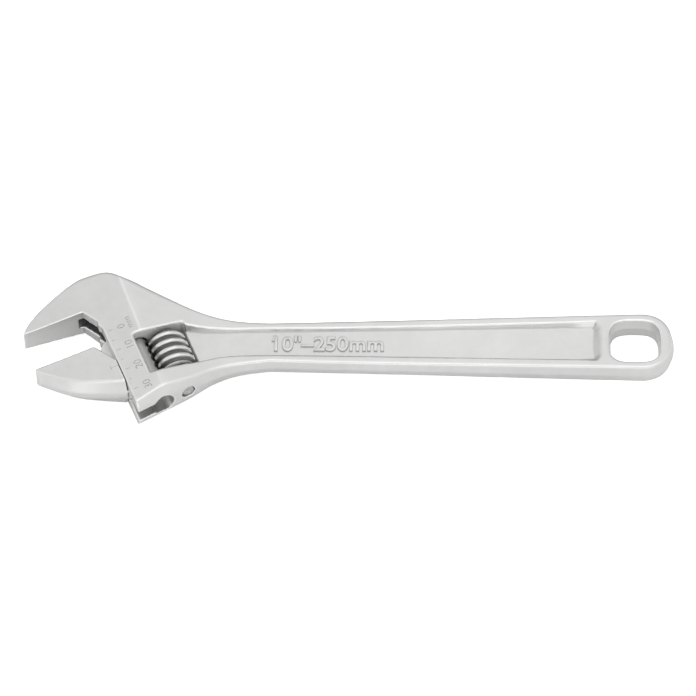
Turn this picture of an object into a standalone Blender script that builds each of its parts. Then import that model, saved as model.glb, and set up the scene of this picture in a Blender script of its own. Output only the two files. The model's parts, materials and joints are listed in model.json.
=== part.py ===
"""Adjustable wrench: forged body, sliding jaw with rack, worm roller, axle pin and play spring.

The wrench lies flat, jaws toward -X, handle along +X, fixed jaw on the +Y side, +Z out of its face.
Everything is drawn in millimetres on the mid-plane and set down in metres at the end.
"""
import math

import bmesh
import bpy
from mathutils import Matrix, Vector

# ---- overall -------------------------------------------------------------------------------
LENGTH = 255.0
MID_HEIGHT = 8.72           # mid-plane above the table, half the thickness at the ridge
CENTRE_Y = -0.05            # middle of the overall width
JAW_ANGLE = math.radians(22.32)     # jaw faces against the handle axis
CORNER_X, CORNER_Y = 27.48, 13.81   # where the jaw face line meets the slide line
GAP = 0.3                   # running gap between neighbours
TALL = 9.6                  # half height of blanks and cutters

# ---- thickness across the head: measured square to the ridge ---------------------------------
RIDGE_ANGLE = math.radians(19.86)
RIDGE_X = 47.4              # where the ridge crosses the handle axis
RIDGE_HEIGHT = 8.87         # sharp height of the ridge above the mid-plane
JAW_TAPER = 0.1002          # thinning toward the jaw tips
NECK_TAPER = 0.170          # thinning toward the handle
RIDGE_ROUND = 4.0           # half width of the rounded ridge
RIDGE_ARC = [(-0.45, 0.03), (0.0, 0.0), (0.5, -0.055)]  # place and height on the crown, in RIDGE_ROUND
TIP_REACH = -70.0           # the jaw side of the profile starts here
TAPER_END = 20.0            # end of the straight taper toward the handle
HANDLE_HEIGHT = 3.9
HANDLE_END_HEIGHT = 4.75
HANDLE_PROFILE = [(25.5, 4.72), (31.5, 4.30), (40.0, 4.08), (56.0, 3.95), (78.0, HANDLE_HEIGHT),
                  (134.0, 4.2), (168.0, 4.5), (186.0, HANDLE_END_HEIGHT), (230.0, HANDLE_END_HEIGHT)]

# ---- forging outline -------------------------------------------------------------------------
HEAD_BACK = [(-0.3, -1.0), (0.0, 2.5), (2.8, 9.2), (10.2, 18.7), (21.4, 29.3), (31.6, 33.3), (41.2, 29.9),
             (49.3, 25.1), (57.4, 20.4), (65.4, 16.0), (73.4, 12.6), (81.3, 10.5), (89.2, 9.45)]
HEAD_LOWER = [(89.2, -10.2), (81.6, -12.0), (74.0, -15.4), (66.3, -20.9), (57.0, -27.1), (47.2, -33.2),
              (38.5, -38.4), (30.0, -43.4)]
NECK_X, NECK_HALF = 97.0, 9.15
HOLE_X, END_HALF = 242.0, 13.1
END_SQUARENESS = 2.25
PARTING_BULGE = 0.9         # drafted handle sides meet this far out
HEAD_WALL, HANDLE_WALL = 4.4, 4.2   # height of the upright side wall
HEAD_CHAMFER = 0.62         # inward run per height above the wall
CHAMFER_FROM, CHAMFER_TO = 3.0, 14.0    # the chamfer fades in behind the fixed jaw's tip
CHAMFER_LEAN = 0.45         # lean of that fade across the head
CHAMFER_STOP = -38.0        # no chamfer below this, at the channel mouth
BULGE_FROM, BULGE_TO = 60.0, 92.0   # head side turns into handle side

# ---- jaw gap, window, channel ----------------------------------------------------------------
THROAT_U, THROAT_V = 4.47, 6.53
NOTCH_U, NOTCH_V = 0.95, 8.4        # small relief where the throat meets the slide
SLIDE_START = 10.0
GAP_PLAN = [(-60.0, 0.0), (-THROAT_U, 0.0), (-0.7, THROAT_V), (-NOTCH_U, NOTCH_V), (0.0, SLIDE_START),
            (0.0, 80.0), (-60.0, 80.0)]
WINDOW_U = (9.8, 30.3)
WINDOW_V = (18.3, 38.2)
BORE_U, BORE_R = 11.0, 4.6
BORE_TOP = -7.0
SLOT_HALF = 2.85
EDGE_V = 62.0               # beyond the lower edge
SLOT_PLAN = [(-6.5, 3.0), (-6.5, -0.3), (-5.2, -1.5), (-1.4, -4.6), (3.0, -6.4), (BORE_U, BORE_TOP),
             (BORE_U, EDGE_V), (-6.5, EDGE_V)]

# ---- recesses and hanging hole ---------------------------------------------------------------
WEB_HALF = 2.3
RECESS_HIGH = [(61.6, 6.95), (67.0, 6.35), (74.2, 6.0), (85.0, 6.25), (97.0, 6.5), (126.0, 6.9),
               (187.0, 8.15), (224.6, 9.0)]
RECESS_LOW = [(224.6, -9.0), (187.0, -8.15), (126.0, -6.9), (97.0, -6.6), (85.5, -6.9), (77.8, -7.85),
              (69.6, -10.4)]
RECESS_U = 26.0             # the recess starts inside the window
RECESS_LEVEL = 4.1          # height of the outline above
RECESS_DRAFT = 0.34
RECESS_END, RECESS_HALF = 225.7, 9.0
RECESS_BOW = 1.5            # the foot of the end wall bows toward the head
RECESS_RAMP = 1.9           # how much gentler the end wall is than the sides
HANG_X, HANG_Y, HANG_A, HANG_B = 239.5, 0.1, 10.2, 9.6
HANG_SQUARENESS = 3.0
HANG_LEVEL, HANG_DRAFT = 4.8, 0.65  # widened by the draft at this height

# ---- worm, pin, spring -----------------------------------------------------------------------
WORM_U = 22.0
WORM_V = (18.8, 37.7)
WORM_CREST, WORM_ROOT = 7.9, 6.2
PITCH = 3.8
CREST_HALF, FLANK = 0.65, 0.42      # half crest width, half-width growth per depth
CREST_ROUND = 0.25
THREAD_TURNS, THREAD_STEPS = 8, 40
CREST_AT = 25.1             # a crest on the rack side, along the slide
PIN_R, PIN_HOLE_R, WORM_BORE_R = 2.5, 2.8, 2.6
PIN_V = (13.0, 46.6)
POCKET_R, POCKET_DEPTH = 4.2, 6.0
COIL_R, WIRE_R, COIL_TURNS, COIL_STEPS = 3.45, 0.35, 5, 16

# ---- movable jaw -----------------------------------------------------------------------------
OPENING = 17.4
JAW_LOWER = [(6.0, -11.0), (6.0, -14.4), (7.7, -17.9), (16.9, -21.6), (23.5, -23.2), (31.0, -23.5),
             (41.6, -23.4), (47.0, -23.3)]
JAW_TIP_DRAFT, JAW_ROOT_DRAFT = 0.66, 0.36
JAW_LAND = 1.3
JAW_TIP_TALL = 6.2          # half height of the jaw blank at its tip
JAW_FACE_END = 5.8
FACET_END = 9.5
NECK_HALF_Z = 2.55
RACK_R = 4.3
RACK_V = (-5.0, 23.0)       # from the jaw face line
TOOTH_PLAY = 0.25
JAW_DRAFT_FROM, JAW_DRAFT_TO = 14.0, 42.0   # the lower side steepens between these
JAW_SIDE_TOP, JAW_SIDE_END = -12.5, 43.0    # the drafted side's limits in y and x
JAW_KEEP = [(-45.0, 0.0), (-JAW_FACE_END - 0.7, 0.0), (-JAW_FACE_END + 0.1, 0.45), (-GAP, FACET_END),
            (-GAP, 40.0), (-45.0, 40.0)]
NECK_PLAN = [(-8.0, 4.0), (-5.4, 0.9), (-4.2, 0.2), (-3.1, -0.65), (-2.0, -2.2), (-1.2, -3.2), (0.6, -4.0),
             (BORE_U - RACK_R + 0.6, RACK_V[0]), (BORE_U, RACK_V[0]), (BORE_U, RACK_V[1]), (2.0, RACK_V[1]),
             (-1.6, 21.6), (-8.0, 18.0)]


def make_material(name, colour, rough):
    """One plain metal."""
    mat = bpy.data.materials.new(name)
    mat.use_nodes = True
    node = mat.node_tree.nodes["Principled BSDF"]
    node.inputs["Base Color"].default_value = (*colour, 1.0)
    node.inputs["Metallic"].default_value = 1.0
    node.inputs["Roughness"].default_value = rough
    return mat


def head(u, v):
    """A point in the head: u along the jaw faces, v along the slide."""
    c, s = math.cos(JAW_ANGLE), math.sin(JAW_ANGLE)
    return (CORNER_X + u * c + v * s, CORNER_Y + u * s - v * c)


SLIDE = Vector((math.sin(JAW_ANGLE), -math.cos(JAW_ANGLE), 0.0))
ALONG = Vector((math.cos(JAW_ANGLE), math.sin(JAW_ANGLE), 0.0))


def new_object(name, bm, collection):
    """Weld and link a mesh, with its faces turned outward."""
    bmesh.ops.remove_doubles(bm, verts=bm.verts, dist=0.0005)
    bmesh.ops.recalc_face_normals(bm, faces=bm.faces)
    mesh = bpy.data.meshes.new(name)
    bm.to_mesh(mesh)
    bm.free()
    obj = bpy.data.objects.new(name, mesh)
    collection.objects.link(obj)
    return obj


def loft(name, loops, collection):
    """Skin a stack of closed loops with equal counts and cap both ends."""
    bm = bmesh.new()
    rings = [[bm.verts.new(p) for p in loop] for loop in loops]
    for low, high in zip(rings, rings[1:]):
        for i in range(len(low)):
            j = (i + 1) % len(low)
            bm.faces.new((low[i], low[j], high[j], high[i]))
    bm.faces.new(list(reversed(rings[0])))
    bm.faces.new(rings[-1])
    return new_object(name, bm, collection)


def realise(obj, collection):
    """Swap a curve or modified object for its plain welded mesh."""
    graph = bpy.context.evaluated_depsgraph_get()
    bm = bmesh.new()
    bm.from_mesh(bpy.data.meshes.new_from_object(obj.evaluated_get(graph)))
    name = obj.name
    bpy.data.objects.remove(obj)
    return new_object(name, bm, collection)


def plate(name, outline, half, collection):
    """A flat outline on the mid-plane with an equal thickness to both sides."""
    curve = bpy.data.curves.new(name, "CURVE")
    curve.dimensions, curve.fill_mode, curve.extrude = "2D", "BOTH", half
    line = curve.splines.new("POLY")
    line.points.add(len(outline) - 1)
    for point, (x, y) in zip(line.points, outline):
        point.co = (x, y, 0.0, 1.0)
    line.use_cyclic_u = True
    obj = bpy.data.objects.new(name, curve)
    collection.objects.link(obj)
    return realise(obj, collection)


def slide_axes(u, v):
    """Local axes with Z along the slide, X along the jaw faces, origin at u, v."""
    axes = Matrix((ALONG, Vector((0, 0, 1)), SLIDE)).transposed().to_4x4()
    axes.translation = (*head(u, v), 0.0)
    return axes


def rod(name, radius, u, v0, v1, steps, collection):
    """A round bar along the slide direction."""
    bm = bmesh.new()
    bmesh.ops.create_cone(bm, cap_ends=True, segments=steps, radius1=radius, radius2=radius, depth=v1 - v0)
    bm.transform(slide_axes(u, (v0 + v1) / 2))
    return new_object(name, bm, collection)


def boolean(target, tool, operation="DIFFERENCE", solver="EXACT"):
    """Apply a boolean and retire the tool."""
    tool.hide_render, tool.display_type = True, "WIRE"
    mod = target.modifiers.new(operation.lower(), "BOOLEAN")
    mod.operation, mod.solver, mod.object = operation, solver, tool
    graph = bpy.context.evaluated_depsgraph_get()
    result = bpy.data.meshes.new_from_object(target.evaluated_get(graph))
    target.modifiers.clear()
    target.data = result
    bpy.data.objects.remove(tool)


def spline(points, per_span):
    """A smooth curve through a few stations."""
    ends = [points[0]] + list(points) + [points[-1]]
    out = []
    for a, b, c, d in zip(ends, ends[1:], ends[2:], ends[3:]):
        for step in range(per_span):
            t = step / per_span
            out.append(tuple(
                0.5 * (2 * b[k] + (c[k] - a[k]) * t + (2 * a[k] - 5 * b[k] + 4 * c[k] - d[k]) * t * t
                       + (3 * b[k] - a[k] - 3 * c[k] + d[k]) * t ** 3) for k in range(2)))
    return out + [tuple(points[-1])]


def smooth_step(value, low, high):
    """Smooth change from 0 at low to 1 at high."""
    t = min(1.0, max(0.0, (value - low) / (high - low)))
    return t * t * (3 - 2 * t)


def outward(loop):
    """Outward unit normals of a clockwise plan loop."""
    count, out = len(loop), []
    for i, (x, y) in enumerate(loop):
        a, b = loop[i - 1], loop[(i + 1) % count]
        run = Vector((b[0] - a[0], b[1] - a[1])).normalized()
        out.append(Vector((-run.y, run.x)))
    return out


def superellipse(cx, cy, a, b, power, count):
    """Points of a rounded oblong."""
    out = []
    for i in range(count):
        t = 2 * math.pi * i / count
        c, s = math.cos(t), math.sin(t)
        out.append((cx + a * math.copysign(abs(c) ** (2 / power), c),
                    cy + b * math.copysign(abs(s) ** (2 / power), s)))
    return out


def handle_half(x):
    """Half width of the handle."""
    return NECK_HALF + (END_HALF - NECK_HALF) * (x - NECK_X) / (HOLE_X - NECK_X)


def face_profile():
    """Height of the front face against distance past the ridge."""
    t = RIDGE_ROUND
    crown = RIDGE_HEIGHT - 0.25 * t * (JAW_TAPER + NECK_TAPER)
    rise = [(past, RIDGE_HEIGHT + past * JAW_TAPER) for past in (TIP_REACH, -t)]
    arc = [(past * t, crown + height * t) for past, height in RIDGE_ARC]
    fall = [(past, RIDGE_HEIGHT - past * NECK_TAPER) for past in (t, TAPER_END)]
    return rise + arc + fall + HANDLE_PROFILE


def trim_faces(obj, collection):
    """Cut the front and back faces to the thickness profile."""
    profile = face_profile()
    section = profile + [(profile[-1][0], 2 * TALL), (profile[0][0], 2 * TALL)]
    stand = Matrix.Rotation(RIDGE_ANGLE, 4, "Z") @ Matrix.Rotation(math.pi / 2, 4, "X")
    for side in (1, -1):
        cutter = plate("face_cutter", [(p, side * h) for p, h in section], 110.0, collection)
        cutter.data.transform(Matrix.Translation((RIDGE_X, 0.0, 0.0)) @ stand)
        boolean(obj, cutter)


def forging_outline():
    """Plan of the forging at its parting line with the bulge, wall height and chamfer of each station."""
    end = []
    for i in range(13):
        t = math.pi / 2 * (1 - i / 12)
        end.append((HOLE_X + (LENGTH - PARTING_BULGE - HOLE_X) * math.cos(t) ** (2 / END_SQUARENESS),
                    END_HALF * math.sin(t) ** (2 / END_SQUARENESS)))
    shank = [(x, handle_half(x)) for x in (NECK_X, 125.0, 160.0, 195.0, 225.0)]
    upper = spline(HEAD_BACK, 5) + shank + end
    lower = [(x, -y) for x, y in reversed(end[:-1])] + [(x, -y) for x, y in reversed(shank)]
    return upper + lower + spline(HEAD_LOWER, 4)


def build_body(collection, cutters):
    """Forging with its gap, recesses, hanging hole, channel, window and pin hole."""
    plan = forging_outline()
    normals = outward(plan)
    rows = {-TALL: [], -1.0: [], 0.0: [], 1.0: [], TALL: []}
    for (x, y), n in zip(plan, normals):
        shank = smooth_step(x, BULGE_FROM, BULGE_TO)
        bulge = PARTING_BULGE * shank
        wall = HEAD_WALL + (HANDLE_WALL - HEAD_WALL) * shank
        slope = HEAD_CHAMFER + (PARTING_BULGE / HANDLE_WALL - HEAD_CHAMFER) * shank
        for level in rows:
            if level == 0.0:
                out, z = bulge, 0.0
            elif abs(level) == 1.0:
                out, z = 0.0, level * wall
            else:
                behind_tip = smooth_step(x - CHAMFER_LEAN * y, CHAMFER_FROM, CHAMFER_TO)
                fade = behind_tip if y > CHAMFER_STOP else 0.0
                out, z = -slope * (TALL - wall) * fade, level
            rows[level].append((x + n.x * out, y + n.y * out, z))
    body = loft("wrench_body", list(rows.values()), collection)
    trim_faces(body, cutters)

    boolean(body, plate("gap_cutter", [head(*p) for p in GAP_PLAN], 2 * TALL, cutters))
    for side in (1, -1):
        boolean(body, recess_cutter(side, cutters))
    hole = []
    for z, out in ((-2 * TALL, 2.0), (-HANG_LEVEL, 1.0), (0.0, 0.0), (HANG_LEVEL, 1.0), (2 * TALL, 2.0)):
        shrink = HANG_DRAFT * (1 - out)
        hole.append([(x, y, z) for x, y in superellipse(
            HANG_X, HANG_Y, HANG_A - shrink, HANG_B - shrink, HANG_SQUARENESS, 48)])
    boolean(body, loft("hang_cutter", hole, cutters))

    channel = plate("slot_cutter", [head(*p) for p in SLOT_PLAN], SLOT_HALF, cutters)
    boolean(channel, rod("bore_cutter", BORE_R, BORE_U, BORE_TOP, EDGE_V, 40, cutters), "UNION")
    boolean(body, channel)
    (u0, u1), (v0, v1) = WINDOW_U, WINDOW_V
    window = [head(*p) for p in ((u0, v0), (u1, v0), (u1, v1), (u0, v1))]
    boolean(body, plate("window_cutter", window, 2 * TALL, cutters))
    boolean(body, rod("pin_cutter", PIN_HOLE_R, WORM_U, PIN_V[0] - GAP, EDGE_V, 28, cutters))
    return body


def recess_cutter(side, cutters):
    """Drafted pocket from the window to the boss of the hanging hole."""
    start = [head(RECESS_U, WINDOW_V[1] - 0.2), head(RECESS_U, WINDOW_V[0] + 0.9)]
    upper, lower = spline(RECESS_HIGH, 3), spline(RECESS_LOW, 3)
    loops = []
    for z in (WEB_HALF, 2 * TALL):
        run = RECESS_DRAFT * (z - RECESS_LEVEL)
        ramp = run * RECESS_RAMP
        end = []
        for i in range(1, 8):
            y = RECESS_HALF * (1 - i / 4)
            bow = RECESS_BOW * (1 - (y / RECESS_HALF) ** 2) if z == WEB_HALF else 0.0
            end.append((RECESS_END + ramp - bow, y * (1 + run / RECESS_HALF), side * z))
        loops.append([(x, y + run, side * z) for x, y in upper] + end
                     + [(x, y - run, side * z) for x, y in lower]
                     + [(x, y, side * z) for x, y in start])
    return loft("recess_cutter", loops, cutters)


def jaw_point(u, v):
    """A point of the movable jaw: v from its own face line."""
    return head(u, v + OPENING)


def build_jaw(collection, cutters):
    """Jaw with its neck and round rack, toothed to match the roller."""
    plan = spline(JAW_LOWER, 5)
    plan = [(x, y) for x, y in reversed(plan)] + [head(-30.5, 8.0), head(8.0, 8.0)]
    normals = outward(plan)
    loops = []
    for side in (-1, -0.1, 0.1, 1):
        loop = []
        for (x, y), n in zip(plan, normals):
            tall = JAW_TIP_TALL + (TALL - JAW_TIP_TALL) * smooth_step(x, 8.0, 40.0)
            z = side * tall if abs(side) == 1 else math.copysign(JAW_LAND, side)
            toward_root = smooth_step(x, JAW_DRAFT_FROM, JAW_DRAFT_TO)
            draft = JAW_TIP_DRAFT + (JAW_ROOT_DRAFT - JAW_TIP_DRAFT) * toward_root
            out = -draft * (abs(z) - JAW_LAND) * smooth_step(-n.y, 0.15, 0.7)
            if y > JAW_SIDE_TOP or x > JAW_SIDE_END:
                out = 0.0
            loop.append((x + n.x * out, y + n.y * out, z))
        loops.append(loop)
    jaw = loft("movable_jaw", loops, collection)
    trim_faces(jaw, cutters)
    boolean(jaw, plate("jaw_keeper", [jaw_point(*p) for p in JAW_KEEP], 2 * TALL, cutters), "INTERSECT")

    shank = plate("neck", [jaw_point(*p) for p in NECK_PLAN], NECK_HALF_Z, cutters)
    v0, v1 = RACK_V[0] + OPENING, RACK_V[1] + OPENING
    rack = rod("rack", RACK_R, BORE_U, v0, v1, 40, cutters)
    boolean(shank, rack, "UNION")
    boolean(jaw, shank, "UNION")

    lead = math.atan(PITCH / (2 * math.pi * (WORM_CREST + WORM_ROOT) / 2))
    tilt = Matrix.Rotation(lead, 4, "X")
    bottom, top = WORM_U - WORM_CREST - TOOTH_PLAY, BORE_U + RACK_R + 0.6
    low_half = CREST_HALF - TOOTH_PLAY * FLANK + TOOTH_PLAY
    high_half = CREST_HALF + (top - (WORM_U - WORM_CREST)) * FLANK + TOOTH_PLAY
    first = math.ceil((v0 + 0.8 - CREST_AT) / PITCH)
    last = math.floor((v1 + 1.2 - CREST_AT) / PITCH)
    for k in range(first, last + 1):
        section = [(0.0, -low_half), (top - bottom, -high_half), (top - bottom, high_half), (0.0, low_half)]
        cutter = plate("tooth_cutter", section, RACK_R + 1.0, cutters)
        stand = slide_axes(bottom, CREST_AT + k * PITCH) @ Matrix.Rotation(math.pi / 2, 4, "X")
        cutter.data.transform(stand @ tilt)
        boolean(jaw, cutter)
    return jaw


def build_worm(collection, cutters):
    """Core with a left-hand ridge, trimmed to the window and bored for the pin and spring."""
    v0, v1 = WORM_V
    core = rod("adjusting_worm", WORM_ROOT, WORM_U, v0 - 2, v1 + 2, 48, collection)
    inner = WORM_ROOT - 0.5
    base_half = CREST_HALF + (WORM_CREST - inner) * FLANK
    shoulder = WORM_CREST - CREST_ROUND
    section = [(inner, -base_half), (shoulder, -CREST_HALF), (WORM_CREST, CREST_ROUND - CREST_HALF),
               (WORM_CREST, CREST_HALF - CREST_ROUND), (shoulder, CREST_HALF), (inner, base_half)]
    bm = bmesh.new()
    ring = [bm.verts.new((r, 0.0, z)) for r, z in section]
    for a, b in zip(ring, ring[1:] + ring[:1]):
        bm.edges.new((a, b))
    mesh = bpy.data.meshes.new("thread")
    bm.to_mesh(mesh)
    bm.free()
    thread = bpy.data.objects.new("thread", mesh)
    cutters.objects.link(thread)
    screw = thread.modifiers.new("ridge", "SCREW")
    screw.angle, screw.screw_offset, screw.iterations = -2 * math.pi, PITCH, THREAD_TURNS
    screw.steps = screw.render_steps = THREAD_STEPS
    screw.use_merge_vertices = False
    thread = realise(thread, cutters)
    bm = bmesh.new()
    bm.from_mesh(thread.data)
    bmesh.ops.holes_fill(bm, edges=bm.edges)
    bmesh.ops.triangulate(bm, faces=bm.faces)
    bmesh.ops.recalc_face_normals(bm, faces=bm.faces)
    bm.transform(slide_axes(WORM_U, CREST_AT - 2.5 * PITCH))
    bm.to_mesh(thread.data)
    bm.free()
    boolean(core, thread, "UNION")
    boolean(core, rod("end_trim", WORM_CREST + 2, WORM_U, v0, v1, 24, cutters), "INTERSECT", "MANIFOLD")
    boolean(core, rod("worm_bore", WORM_BORE_R, WORM_U, v0 - 1, v1 + 1, 28, cutters), solver="MANIFOLD")
    boolean(core, rod("pocket", POCKET_R, WORM_U, v0 - 1, v0 + POCKET_DEPTH, 32, cutters), solver="MANIFOLD")
    return core


def build_pin(collection):
    """Axle of the roller."""
    return rod("worm_pin", PIN_R, WORM_U, *PIN_V, 28, collection)


def build_spring(collection):
    """Coil in the roller's pocket, between the window wall and the pocket floor."""
    low = WINDOW_V[0] + GAP + WIRE_R
    high = WORM_V[0] + POCKET_DEPTH - GAP - WIRE_R
    curve = bpy.data.curves.new("worm_spring", "CURVE")
    curve.dimensions, curve.use_fill_caps = "3D", True
    curve.bevel_depth, curve.bevel_resolution = WIRE_R, 1
    line = curve.splines.new("POLY")
    count = COIL_TURNS * COIL_STEPS + 1
    line.points.add(count - 1)
    axes = slide_axes(WORM_U, low)
    for i, point in enumerate(line.points):
        angle = 2 * math.pi * i / COIL_STEPS
        rise = (high - low) * i / (count - 1)
        place = axes @ Vector((COIL_R * math.cos(angle), COIL_R * math.sin(angle), rise))
        point.co = (*place, 1.0)
    coil = bpy.data.objects.new("worm_spring", curve)
    collection.objects.link(coil)
    return realise(coil, collection)


def set_down(obj, origin):
    """Scale to metres, stand on the table and put the origin on the piece's axis."""
    place = Matrix.Translation((-LENGTH / 2, -CENTRE_Y, MID_HEIGHT))
    obj.data.transform(Matrix.Scale(0.001, 4) @ place)
    at = (place @ Vector(origin)) * 0.001
    obj.data.transform(Matrix.Translation(-at))
    obj.location = at


def main():
    """Clear the scene, build the five pieces and set them down."""
    for obj in list(bpy.data.objects):
        bpy.data.objects.remove(obj)
    scene = bpy.context.scene
    wrench = bpy.data.collections.new("adjustable_wrench")
    cutters = bpy.data.collections.new("cutters")
    for collection in (wrench, cutters):
        scene.collection.children.link(collection)
    cutters.hide_render = True
    steel = (0.62, 0.62, 0.62)
    pieces = {
        build_body(wrench, cutters): ("satin_chrome", steel, 0.34, (LENGTH / 2, CENTRE_Y, 0)),
        build_jaw(wrench, cutters): ("jaw_chrome", steel, 0.32, (*head(BORE_U, OPENING), 0)),
        build_worm(wrench, cutters): ("worm_steel", (0.5, 0.5, 0.5), 0.28,
                                      (*head(WORM_U, sum(WORM_V) / 2), 0)),
        build_pin(wrench): ("pin_steel", (0.45, 0.45, 0.45), 0.3, (*head(WORM_U, PIN_V[0]), 0)),
        build_spring(wrench): ("spring_steel", (0.4, 0.4, 0.42), 0.35, (*head(WORM_U, WINDOW_V[0]), 0)),
    }
    for obj, (name, colour, rough, origin) in pieces.items():
        obj.data.materials.clear()
        obj.data.materials.append(make_material(name, colour, rough))
        set_down(obj, origin)


main()
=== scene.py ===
"""Adjustable wrench: fine forged surfaces, scale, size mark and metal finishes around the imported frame.

Shapes are drawn as distance fields in millimetres, in the wrench's own plan: x from the jaw tips toward
the handle end, y toward the fixed jaw's back, z up from the mid-plane. Two more plan directions follow the
jaws: u along the jaw faces and v along the slide. A field is negative inside the metal.
"""
import json
import math

import bmesh
import bpy
import numpy as np
from bpy.props import FloatProperty, FloatVectorProperty, PointerProperty, StringProperty
from mathutils import Matrix, Vector


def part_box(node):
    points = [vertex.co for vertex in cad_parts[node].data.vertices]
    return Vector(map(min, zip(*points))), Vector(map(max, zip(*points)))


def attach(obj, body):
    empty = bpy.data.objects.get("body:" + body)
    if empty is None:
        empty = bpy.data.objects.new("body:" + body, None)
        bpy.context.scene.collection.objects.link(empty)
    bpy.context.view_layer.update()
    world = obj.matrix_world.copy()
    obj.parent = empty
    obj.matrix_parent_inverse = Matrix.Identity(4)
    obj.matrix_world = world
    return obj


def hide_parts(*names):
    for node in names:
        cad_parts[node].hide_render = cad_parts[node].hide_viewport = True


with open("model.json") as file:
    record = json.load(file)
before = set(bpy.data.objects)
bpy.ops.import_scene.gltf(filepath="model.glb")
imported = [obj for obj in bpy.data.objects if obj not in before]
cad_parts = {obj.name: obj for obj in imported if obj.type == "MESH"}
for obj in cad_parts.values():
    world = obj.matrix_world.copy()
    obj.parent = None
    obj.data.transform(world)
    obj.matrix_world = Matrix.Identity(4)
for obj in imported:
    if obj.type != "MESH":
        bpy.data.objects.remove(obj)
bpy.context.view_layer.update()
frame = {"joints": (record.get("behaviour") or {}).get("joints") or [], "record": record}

bl_info = {
    "name": "Adjustable Wrench",
    "version": (1, 0, 0),
    "blender": (4, 5, 0),
    "location": "View3D > Sidebar > Wrench",
    "description": "Builds the finished surfaces of an adjustable wrench around its packed frame",
    "category": "Object",
}

RECORD = frame["record"]
MM = 0.001


# ---- places taken from the frame -------------------------------------------------------------
def joint(name):
    """A joint of the record by name."""
    return next(j for j in frame["joints"] if j["name"] == name)


def mount(name):
    """A mount of the record by name."""
    return next(m for m in RECORD["mounts"] if m["name"] == name)


SLIDE = Vector(joint("jaw_slide")["axis"]).normalized()
ALONG = Vector((-SLIDE.y, SLIDE.x, 0.0))
FIXED_FACE = Vector(mount("fixed_jaw_face")["pos_m"]) / MM
MOVING_FACE = Vector(mount("movable_jaw_face")["pos_m"]) / MM
WORM_CENTRE = Vector(joint("worm_spin")["pos_m"]) / MM
BODY_LOW, BODY_HIGH = (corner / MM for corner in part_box("wrench_body"))
LENGTH = BODY_HIGH.x - BODY_LOW.x
MID_HEIGHT = FIXED_FACE.z
PLAN_LENGTH, PLAN_Y = 255.0, 0.05   # the plan's zero: back from the handle's end, up from the frame's axis
ORIGIN = Vector((BODY_HIGH.x - PLAN_LENGTH, PLAN_Y, MID_HEIGHT))
FACE_TO_CORNER = 15.0               # the fixed face's mount to the inner corner of the gap
CORNER = FIXED_FACE + FACE_TO_CORNER * ALONG - ORIGIN
OPENING = (MOVING_FACE - FIXED_FACE).dot(SLIDE)
WORM_U = (WORM_CENTRE - ORIGIN - CORNER).dot(ALONG)
WORM_V = (WORM_CENTRE - ORIGIN - CORNER).dot(SLIDE)


class WrenchSizes(bpy.types.PropertyGroup):
    """Driving sizes of the fine surfaces, in millimetres."""

    edge_round: FloatProperty(name="Edge rounding", description="Rounding of the forging's outer edges, mm",
                              default=0.95, min=0.2, max=2.0)
    rim_round: FloatProperty(name="Window rim", description="Rounding of the roller window's rim, mm",
                             default=1.0, min=0.2, max=2.0)
    fillet: FloatProperty(name="Recess fillet", description="Fillet along the recess floor, mm",
                          default=0.45, min=0.2, max=3.0)
    ridge_height: FloatProperty(name="Ridge height", description="Sharp height of the head's ridge, mm",
                                default=8.87, min=6.0, max=10.0)
    web_half: FloatProperty(name="Half web", description="Half thickness of the recessed web, mm",
                            default=2.3, min=1.0, max=4.0)
    crest_radius: FloatProperty(name="Roller radius", description="Crest radius of the roller's thread, mm",
                                default=7.9, min=6.0, max=9.0)
    root_radius: FloatProperty(name="Root radius", description="Root radius of the roller's thread, mm",
                               default=6.2, min=4.0, max=8.0)
    pitch: FloatProperty(name="Thread pitch", description="Pitch of the roller's thread, mm",
                         default=3.8, min=2.0, max=6.0)
    fine_cell: FloatProperty(name="Fine cell", description="Mesh cell in the head and jaw, mm",
                             default=0.48, min=0.2, max=1.0)
    long_cell: FloatProperty(name="Long cell", description="Mesh cell along the plain handle, mm",
                             default=1.1, min=0.3, max=3.0)


class WrenchFinish(bpy.types.PropertyGroup):
    """Colours and gloss of the metals and the marks."""

    chrome: FloatVectorProperty(name="Chrome", description="Satin chrome plating", subtype="COLOR",
                                default=(0.77, 0.77, 0.765), min=0.0, max=1.0)
    chrome_roughness: FloatProperty(name="Chrome roughness", description="Gloss of the satin plating",
                                    default=0.36, min=0.0, max=1.0)
    steel: FloatVectorProperty(name="Roller steel", description="Bright turned steel", subtype="COLOR",
                               default=(0.72, 0.72, 0.71), min=0.0, max=1.0)
    # the colour the roller's thread goes toward deeper in its grooves
    groove: FloatVectorProperty(name="Groove", description="Oily dark film deep in the thread",
                                subtype="COLOR", default=(0.17, 0.17, 0.17), min=0.0, max=1.0)
    etching: FloatVectorProperty(name="Etching", description="Dark grey of the etched scale",
                                 subtype="COLOR", default=(0.36, 0.36, 0.365), min=0.0, max=1.0)
    size_mark: StringProperty(name="Size mark", description="Raised size of the tool on the web",
                              default="10\"\u2013250mm")


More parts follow.
